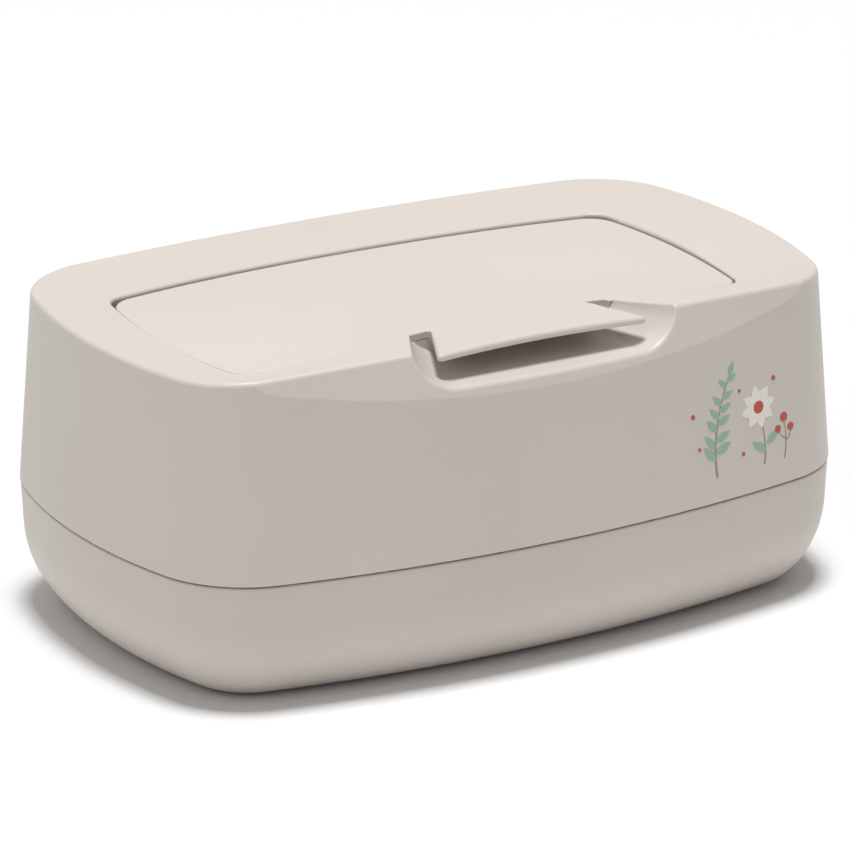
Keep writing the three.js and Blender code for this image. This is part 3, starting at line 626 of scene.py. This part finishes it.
def noise(nodes, links, place, kind, low, high):
    """A noise texture in object space, mapped from low to high."""
    scale, detail = kind
    texture = nodes.new("ShaderNodeTexNoise")
    texture.inputs["Scale"].default_value = scale
    texture.inputs["Detail"].default_value = detail
    links.new(place.outputs["Object"], texture.inputs["Vector"])
    spread_out = nodes.new("ShaderNodeMapRange")
    spread_out.inputs["From Min"].default_value, spread_out.inputs["From Max"].default_value = NOISE_RANGE
    spread_out.inputs["To Min"].default_value = low
    spread_out.inputs["To Max"].default_value = high
    links.new(texture.outputs["Fac"], spread_out.inputs["Value"])
    return spread_out.outputs["Result"]


def moulded(name, colour, roughness, grain_scale, grain_depth):
    """Moulded plastic or silicone: a fine grain, soft drifts in colour and in roughness."""
    material, shader, nodes, links = principled(name, colour, roughness)
    place = nodes.new("ShaderNodeTexCoord")
    low, high = (roughness + drift for drift in ROUGHNESS_DRIFT)
    links.new(noise(nodes, links, place, ROUGHNESS_NOISE, low, high), shader.inputs["Roughness"])
    tint = nodes.new("ShaderNodeMix")
    tint.data_type = "RGBA"
    tint.inputs["A"].default_value = (*[c * (1 - COLOUR_DRIFT) for c in colour], 1)
    tint.inputs["B"].default_value = (*[min(1, c * (1 + COLOUR_DRIFT)) for c in colour], 1)
    links.new(noise(nodes, links, place, COLOUR_NOISE, 0, 1), tint.inputs["Factor"])
    links.new(tint.outputs["Result"], shader.inputs["Base Color"])
    grain = nodes.new("ShaderNodeTexNoise")
    grain.inputs["Scale"].default_value = grain_scale
    grain.inputs["Detail"].default_value = GRAIN_DETAIL
    links.new(place.outputs["Object"], grain.inputs["Vector"])
    bump = nodes.new("ShaderNodeBump")
    bump.inputs["Distance"].default_value = grain_depth * MM
    links.new(grain.outputs["Fac"], bump.inputs["Height"])
    links.new(bump.outputs["Normal"], shader.inputs["Normal"])
    return material


SHELL = moulded("shell_plastic", PLASTIC_COLOUR, PLASTIC_ROUGHNESS, *PLASTIC_GRAIN)
LID_PLASTIC = moulded("lid_plastic", PLASTIC_COLOUR, PLASTIC_ROUGHNESS, *PLASTIC_GRAIN)
SEAL = moulded("seal_silicone", (0.40, 0.37, 0.34), 0.5, *SOFT_GRAIN)
INSERT = moulded("insert_silicone", (0.52, 0.48, 0.45), 0.48, *SOFT_GRAIN)
PAD = moulded("pad_rubber", (0.07, 0.065, 0.06), 0.75, *PAD_GRAIN)


def steel():
    """Drawn steel wire: a fine grain along the pin."""
    material, shader, nodes, links = principled("pin_steel", (0.6, 0.59, 0.58), STEEL_ROUGHNESS)
    shader.inputs["Metallic"].default_value = 1
    place = nodes.new("ShaderNodeTexCoord")
    stretch = nodes.new("ShaderNodeMapping")
    stretch.inputs["Scale"].default_value = STEEL_STREAKS
    links.new(place.outputs["Object"], stretch.inputs["Vector"])
    streaks = nodes.new("ShaderNodeTexNoise")
    streaks.inputs["Scale"].default_value = 1
    links.new(stretch.outputs["Vector"], streaks.inputs["Vector"])
    reach = nodes.new("ShaderNodeMapRange")
    reach.inputs["To Min"].default_value, reach.inputs["To Max"].default_value = STEEL_ROUGHNESS_RANGE
    links.new(streaks.outputs["Fac"], reach.inputs["Value"])
    links.new(reach.outputs["Result"], shader.inputs["Roughness"])
    return material


STEEL = steel()


def dress(piece, body_name, slot, material, *nodes):
    """Gives a piece its material and its body, and hides the solids that it stands for. The slot is not used.
    """
    piece.data.materials.append(material)
    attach(piece, body_name)
    if nodes:
        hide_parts(*nodes)


# Cover and lid. A stretch of grid lines has a start, an end and a step, which is small where edges are.

def make_cover():
    fine = COVER_STEP
    xs = both_sides((0, 20, 2 * fine), (20, 50, fine), (50, 72, 2 * fine), (72, 90, fine),
                    (90, 111, 1.6 * fine))
    ys = spread((-70.6, -41.6, fine), (-41.6, -39.8, 0.3), (-39.8, -34, fine), (-34, 28, 2 * fine),
                (28, 50, fine), (50, 70.6, 1.6 * fine))
    zs = spread((35.9, 37.4, 0.25), (37.4, 67.4, 3), (67.4, 76.4, 1.5 * fine), (76.4, 94.8, 0.8 * fine))
    shell = field_object("cover_shell", cover_field, xs, ys, zs)
    dress(shell, "cover", "shell_plastic", SHELL, "top_cover")


def make_lid():
    fine = LID_MESH_STEP
    xs = both_sides((0, 20, 2 * fine), (20, 42, fine), (42, 62, 2 * fine), (62, 83.5, fine))
    ys = spread((-60.8, -28, fine), (-28, 18, 2 * fine), (18, 47.2, fine))
    zs = spread((81.4, 93.2, 0.7 * fine))
    shell = field_object("lid_shell", lid_field, xs, ys, zs)
    dress(shell, "lid", "lid_plastic", LID_PLASTIC, "flip_lid")


# Tray

def tray_inset(height):
    drop = max(0, (BASE_ROUND_HEIGHT - height) / BASE_ROUND_HEIGHT)
    rounded = BASE_ROUND_WIDTH * (1 - math.sqrt(max(0, 1 - drop * drop)))
    return TRAY_EDGE_INSET + rounded + TRAY_DRAFT_SHARE * (SEAM_HEIGHT - height)


def quarter(count):
    return np.linspace(0, math.pi / 2, count)


def rounding(radius):
    """A rounded edge from a wall up to a top, as pairs of inset from the wall and drop from the top."""
    return [(radius * (1 - math.cos(t)), radius * (1 - math.sin(t))) for t in quarter(EDGE_STEPS)]


def make_tray():
    top = SEAM_HEIGHT - SEAM_GAP / 2
    base = [FOOT_PROUD + (BASE_ROUND_HEIGHT - FOOT_PROUD) * (1 - math.cos(t)) for t in quarter(BASE_STEPS)]
    floor_inset = tray_inset(FOOT_PROUD)
    profile = [(floor_inset + extra, FOOT_PROUD) for extra in TRAY_FLOOR_INSETS]
    profile += [(tray_inset(z), z) for z in base]
    wall = np.linspace(BASE_ROUND_HEIGHT, top - TRAY_EDGE_ROUND, WALL_STEPS)
    profile += [(tray_inset(z), z) for z in wall[1:]]
    edge = rounding(TRAY_EDGE_ROUND)
    profile += [(tray_inset(top) + inset, top - drop) for inset, drop in edge[1:]]
    profile += [(TRAY_RIM_OUTER - TRAY_SHOULDER_BEVEL, top), (TRAY_RIM_OUTER, top + TRAY_SHOULDER_BEVEL)]
    lip = rounding(TRAY_LIP_ROUND)
    profile += [(TRAY_RIM_OUTER + inset, TRAY_RIM_TOP - drop) for inset, drop in lip]
    profile += [(TRAY_RIM_INNER - inset, TRAY_RIM_TOP - drop) for inset, drop in lip[::-1]]
    wall_drop, merge_drop = TRAY_LIP_MERGE
    profile.append((TRAY_RIM_INNER, top - TRAY_LIP_ROOT))
    profile.append((tray_inset(top - wall_drop) + TRAY_WALL, top - merge_drop))
    profile += [(tray_inset(z) + TRAY_WALL, z + FOOT_PROUD) for z in base[::-1] if z > TRAY_INSIDE_START]
    last_inset = profile[-1][0]
    profile += [(last_inset + inset, TRAY_INSIDE + rise) for inset, rise in TRAY_INSIDE_CORNER]
    rings = [raised(body.points(inset, TRAY_STEPS), height) for inset, height in profile]
    dress(loft("tray_shell", rings), "base", "shell_plastic", SHELL, "base_tray")


# Soft and small parts

def bead(name, outline_at, low, high, outer, inner, corner):
    """A ring of soft material with a rounded section between two insets of one outline."""
    section = []
    for start, (across, up) in enumerate(((outer, low), (inner, low), (inner, high), (outer, high))):
        into_x = 1 if across == outer else -1
        into_z = 1 if up == low else -1
        turns = quarter(BEAD_STEPS) if start % 2 else quarter(BEAD_STEPS)[::-1]
        for t in turns:
            x = across + into_x * corner * (1 - math.cos(t))
            section.append((x, up + into_z * corner * (1 - math.sin(t))))
    rings = [raised(outline_at(inset), height) for inset, height in section]
    return loft(name, rings, closed=True)


def rectangle_points(halves, corner, count=10):
    """Points round a rounded rectangle about the seal's centre, anticlockwise."""
    points = []
    for quadrant, (sx, sy) in enumerate(((1, 1), (-1, 1), (-1, -1), (1, -1))):
        centre = (sx * (halves[0] - corner), sy * (halves[1] - corner) + SEAL_CENTRE_Y)
        for t in quarter(count) + quadrant * math.pi / 2:
            points.append((centre[0] + corner * math.cos(t), centre[1] + corner * math.sin(t)))
    return np.array(points)


def inset_rectangle(halves, corner):
    return lambda inset: rectangle_points([h - inset for h in halves], corner - inset)


def make_seals():
    rim = bead("rim_seal_bead", lambda inset: body.points(inset, RIM_SEAL_STEPS),
               RIM_SEAL_BOTTOM, RIM_SEAL_TOP, RIM_SEAL_OUTER, RIM_SEAL_OUTER + RIM_SEAL_WIDTH, RIM_SEAL_ROUND)
    dress(rim, "base", "soft_seal", SEAL, "rim_seal")
    half = SEAL_WIDTH / 2
    lid_seal = bead("lid_seal_bead", inset_rectangle(SEAL_HALVES, SEAL_CORNER), SEAL_BOTTOM, SEAL_TOP,
                    -half, half, SEAL_ROUND)
    dress(lid_seal, "lid", "soft_seal", SEAL, "lid_seal")


def make_insert():
    """Soft plate with a thinner web round its slot and a raised lip along the slot's edge."""
    insert = (*INSERT_HALVES, INSERT_CORNER)
    slot = (*SLOT_HALVES, SLOT_CORNER)

    def ring(shape, offset, height):
        half_x, half_y, corner = (size + offset for size in shape)
        return raised(rectangle_points((half_x, half_y), corner), height)

    rings = [ring(insert, -inset, WELL_FLOOR - drop) for inset, drop in INSERT_EDGE]
    rings += [ring(slot, offset, WELL_FLOOR - drop) for offset, drop in SLOT_LIP]
    rings.append(ring(slot, SLOT_UNDER_GAP, INSERT_BOTTOM))
    rings.append(ring(insert, -INSERT_UNDER_BEVEL, INSERT_BOTTOM))
    rings.append(ring(insert, 0, INSERT_BOTTOM + INSERT_UNDER_BEVEL))
    dress(loft("insert_plate", rings, closed=True), "cover", "soft_insert", INSERT, "dispensing_insert")


def lathe(name, profile, turn_to, segments=64):
    """A body of revolution from (radius, height) points; turn_to places each ring."""
    turns = np.linspace(0, 2 * math.pi, segments, endpoint=False)
    circle = np.column_stack([np.cos(turns), np.sin(turns)])
    return loft(name, [turn_to(raised(radius * circle, height)) for radius, height in profile])


def make_feet():
    """Rubber pads with a rounded edge and two grooves."""
    edge = [(PAD_RADIUS - inset, height) for height, inset in rounding(PAD_ROUND)]
    grooves = [(radius + away, depth) for radius in PAD_GROOVES for away, depth in GROOVE]
    top = [(PAD_RADIUS, PAD_HEIGHT - PAD_TOP_BEVEL), (PAD_RADIUS - PAD_TOP_BEVEL, PAD_HEIGHT),
           (PAD_CENTRE, PAD_HEIGHT)]
    profile = [(PAD_CENTRE, 0), *grooves, *edge, *top]
    for end in ("front", "rear"):
        for side in ("left", "right"):
            low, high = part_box(f"foot_{end}_{side}")
            middle = np.array([(low[i] + high[i]) / 2 / MM for i in range(2)] + [0])
            pad = lathe(f"pad_{end}_{side}", profile, lambda ring, m=middle: ring + m)
            dress(pad, "base", "pad_rubber", PAD, f"foot_{end}_{side}")


def make_pins():
    """Steel pins with domed ends."""
    inner, outer = PIN_ENDS
    dome = [(PIN_RADIUS * math.sin(t), PIN_DOME * (1 - math.cos(t))) for t in quarter(BEAD_STEPS)[1:]]
    profile = [(r, inner + h) for r, h in dome] + [(r, outer - h) for r, h in dome[::-1]]
    for side, sign in (("left", -1), ("right", 1)):

        def along_x(ring, sign=sign):
            return np.column_stack([sign * ring[:, 2], sign * ring[:, 0] + HINGE_Y, ring[:, 1] + HINGE_Z])

        pin = lathe(f"pin_{side}", profile, along_x, PIN_SEGMENTS)
        dress(pin, "lid", "pin_steel", STEEL, f"hinge_pin_{side}")


# Printed sprig on the front wall, with X along the wall and Z up. A stem has three points and a width, a
# leaf its foot, length, width and angle, and a disc its centre and radius.

INK_ROOT = 0.1
INK_ROUGHNESS = 0.5
INK_GRAIN = (1500, 0.01)
INK_COLOURS = dict(sage=(0.30, 0.455, 0.325), rust=(0.48, 0.09, 0.05), cream=(0.82, 0.77, 0.69),
                   taupe=(0.33, 0.24, 0.18))
INK_PROUD = dict(taupe=0.05, sage=0.07, cream=0.09, rust=0.11)
STEM_POINTS = 25
STEM_TAPER = 0.5
LEAF_POINTS = 15
LEAF_FULLNESS = 0.85
DISC_POINTS = 28
SPRIG_STEM = (((52, 43.5), (50, 57), (57, 71)), 0.75)
SPRIG_LEAVES = (0.22, 0.92, 6)
SPRIG_LEAF_LENGTH = 6.8
SPRIG_LEAF_SHRINK = 3.0
SPRIG_LEAF_WIDTH_SHARE = 0.42
SPRIG_LEAF_SHIFT = 0.9
SPRIG_LEAF_ANGLE = 0.95
SPRIG_LEAN = 0.2
TIP_LEAF = (4.2, 1.9, math.radians(70))
FLOWER_STEM = (((69, 43.5), (70.5, 50), (67.5, 57.5)), 0.6)
FLOWER_LEAVES = ((70, 49, 6, 2.4, math.radians(35)), (69.9, 47, 6.4, 2.5, math.radians(145)))
FLOWER = (67.3, 60)
FLOWER_EYE = 1.8
PETAL_COUNT = 8
PETAL_FOOT = 1.0
PETAL_SIZE = (5.2, 3.1)
PETAL_TURN = 0.2
BERRY_STEMS = ((((76.5, 43.5), (78, 49), (76.5, 54)), 0.5), (((77.2, 49), (75.5, 49.8), (74.5, 51.5)), 0.4),
               (((77.3, 48.4), (78.8, 49.2), (79, 51.2)), 0.4))
BERRIES = ((76.5, 55.2, 1.35), (74.3, 52.2, 1.1), (79.0, 52.0, 1.15))
DOTS = ((44, 62, 0.7), (61.5, 48, 0.6), (46, 52.5, 0.55), (73, 67, 0.7), (60.5, 66, 0.5))


def wall_point(x, z, proud):
    inset = COVER_TOP_INSET * (z - COVER_BOTTOM) / (HEIGHT - COVER_BOTTOM)
    radius = body.radii[0] - inset + proud
    return np.column_stack([x, body.front[1] - np.sqrt(radius ** 2 - x ** 2), z])


def leaf(x, z, length, width, angle):
    """A pointed leaf from its foot, as an outline in the wall's plane."""
    share = np.linspace(0, 1, LEAF_POINTS)
    half = width / 2 * np.sin(math.pi * share ** LEAF_FULLNESS)
    along = length * share
    outline = np.vstack([np.column_stack([along, half]), np.column_stack([along, -half])[-2:0:-1]])
    turn = np.array([[math.cos(angle), math.sin(angle)], [-math.sin(angle), math.cos(angle)]])
    return outline @ turn + [x, z]


def disc(x, z, radius):
    t = np.linspace(0, 2 * math.pi, DISC_POINTS, endpoint=False)
    return np.column_stack([x + radius * np.cos(t), z + radius * np.sin(t)])


def stem(points, width):
    """A smooth line from the first point to the last, drawn towards the middle one, and a strip along it."""
    a, b, c = (np.array(p, dtype=float) for p in points)
    share = np.linspace(0, 1, STEM_POINTS)[:, None]
    line = a * (1 - share) ** 2 + 2 * b * share * (1 - share) + c * share ** 2
    way = np.gradient(line, axis=0)
    side = np.column_stack([-way[:, 1], way[:, 0]]) / np.linalg.norm(way, axis=1)[:, None]
    taper = width / 2 * (1 - STEM_TAPER * share)
    return line, np.vstack([line + side * taper, (line - side * taper)[::-1]])


def print_object(name, outlines, proud, material):
    """Thin closed slabs of ink on the front wall, one for each outline."""
    points, faces = [], []
    for outline in outlines:
        count, start = len(outline), len(points)
        x, z = outline.T
        area = (x * np.roll(z, -1) - z * np.roll(x, -1)).sum()
        ordered = outline if area > 0 else outline[::-1]
        points.extend(wall_point(ordered[:, 0], ordered[:, 1], -INK_ROOT))
        points.extend(wall_point(ordered[:, 0], ordered[:, 1], proud))
        faces.append(tuple(start + count + i for i in range(count)))
        faces.append(tuple(start + i for i in reversed(range(count))))
        for i in range(count):
            j = (i + 1) % count
            faces.append((start + i, start + j, start + count + j, start + count + i))
    piece = mesh_object(name, points, faces, smooth=False)
    dress(piece, "cover", "shell_plastic", material)


def make_print():
    inks = {}
    for ink, colour in INK_COLOURS.items():
        inks[ink] = moulded(f"ink_{ink}", colour, INK_ROUGHNESS, *INK_GRAIN)
    line, sprig = stem(*SPRIG_STEM)
    leaves = []
    for share in np.linspace(*SPRIG_LEAVES):
        x, z = line[int(share * (STEM_POINTS - 1))]
        length = SPRIG_LEAF_LENGTH - SPRIG_LEAF_SHRINK * share
        width = length * SPRIG_LEAF_WIDTH_SHARE
        for side in (-1, 1):
            angle = math.pi / 2 - side * SPRIG_LEAF_ANGLE - SPRIG_LEAN
            leaves.append(leaf(x, z + SPRIG_LEAF_SHIFT * side, length, width, angle))
    leaves.append(leaf(*line[-1], *TIP_LEAF))
    leaves += [leaf(*one) for one in FLOWER_LEAVES]
    petals = []
    for i in range(PETAL_COUNT):
        angle = 2 * math.pi * i / PETAL_COUNT + PETAL_TURN
        foot = (FLOWER[0] + PETAL_FOOT * math.cos(angle), FLOWER[1] + PETAL_FOOT * math.sin(angle))
        petals.append(leaf(*foot, *PETAL_SIZE, angle))
    stems = [sprig] + [stem(*one)[1] for one in (FLOWER_STEM, *BERRY_STEMS)]
    discs = [disc(*one) for one in ((*FLOWER, FLOWER_EYE), *BERRIES, *DOTS)]
    for name, outlines, ink in (("stems", stems, "taupe"), ("leaves", leaves, "sage"),
                                ("petals", petals, "cream"), ("rust", discs, "rust")):
        print_object(f"print_{name}", outlines, INK_PROUD[ink], inks[ink])


# Studio

def make_studio():
    mesh = bpy.data.meshes.new("studio_floor")
    bend_start = FLOOR_DEPTH - BACKDROP_BEND
    profile = [(-FLOOR_HALF_WIDTH, 0.0), (bend_start, 0.0)]
    for t in quarter(BEND_STEPS)[1:]:
        profile.append((bend_start + BACKDROP_BEND * math.sin(t), BACKDROP_BEND * (1 - math.cos(t))))
    profile.append((FLOOR_DEPTH, BACKDROP_HEIGHT))
    cos, sin = math.cos(CAMERA_AZIMUTH), math.sin(CAMERA_AZIMUTH)
    turn = np.array([[cos, sin], [-sin, cos]])
    points = []
    for across in (-FLOOR_HALF_WIDTH, FLOOR_HALF_WIDTH):
        for y, z in profile:
            px, py = np.array([across, y]) @ turn
            points.append((px, py, z))
    n = len(profile)
    faces = [(i, n + i, n + i + 1, i + 1) for i in range(n - 1)]
    mesh.from_pydata(points, [], faces)
    mesh.polygons.foreach_set("use_smooth", [True] * len(faces))
    floor = bpy.data.objects.new("studio_floor", mesh)
    bpy.context.scene.collection.objects.link(floor)
    material, *_ = principled("studio_paper", (FLOOR_GREY, FLOOR_GREY, FLOOR_GREY), FLOOR_ROUGHNESS)
    mesh.materials.append(material)

    world = bpy.data.worlds.new("studio_world")
    world.use_nodes = True
    background = world.node_tree.nodes["Background"]
    background.inputs["Color"].default_value = (1, 1, 1, 1)
    background.inputs["Strength"].default_value = WORLD_STRENGTH
    bpy.context.scene.world = world
    bpy.context.scene.view_settings.view_transform = "Standard"


def area_light(name, azimuth, elevation, distance, size, power):
    """A soft light aimed at the box; azimuth is measured like the camera's."""
    data = bpy.data.lights.new(name, "AREA")
    data.shape = "DISK"
    data.size = size
    data.energy = power
    light = bpy.data.objects.new(name, data)
    a, e = math.radians(azimuth), math.radians(elevation)
    back = Vector((math.sin(a) * math.cos(e), -math.cos(a) * math.cos(e), math.sin(e)))
    light.location = CAMERA_TARGET + back * distance
    light.rotation_euler = back.to_track_quat("Z", "Y").to_euler()
    bpy.context.scene.collection.objects.link(light)


def make_camera():
    data = bpy.data.cameras.new("camera")
    data.lens = CAMERA_LENS
    data.sensor_width = SENSOR_WIDTH
    camera = bpy.data.objects.new("camera", data)
    back = Vector((
        math.sin(CAMERA_AZIMUTH) * math.cos(CAMERA_ELEVATION),
        -math.cos(CAMERA_AZIMUTH) * math.cos(CAMERA_ELEVATION),
        math.sin(CAMERA_ELEVATION),
    ))
    camera.location = CAMERA_TARGET + back * CAMERA_DISTANCE
    camera.rotation_euler = back.to_track_quat("Z", "Y").to_euler()
    bpy.context.scene.collection.objects.link(camera)
    bpy.context.scene.camera = camera


make_cover()
make_lid()
make_tray()
make_seals()
make_insert()
make_feet()
make_pins()
make_print()
make_studio()
area_light("top_light", *TOP_LIGHT)
area_light("front_light", *FRONT_LIGHT)
make_camera()
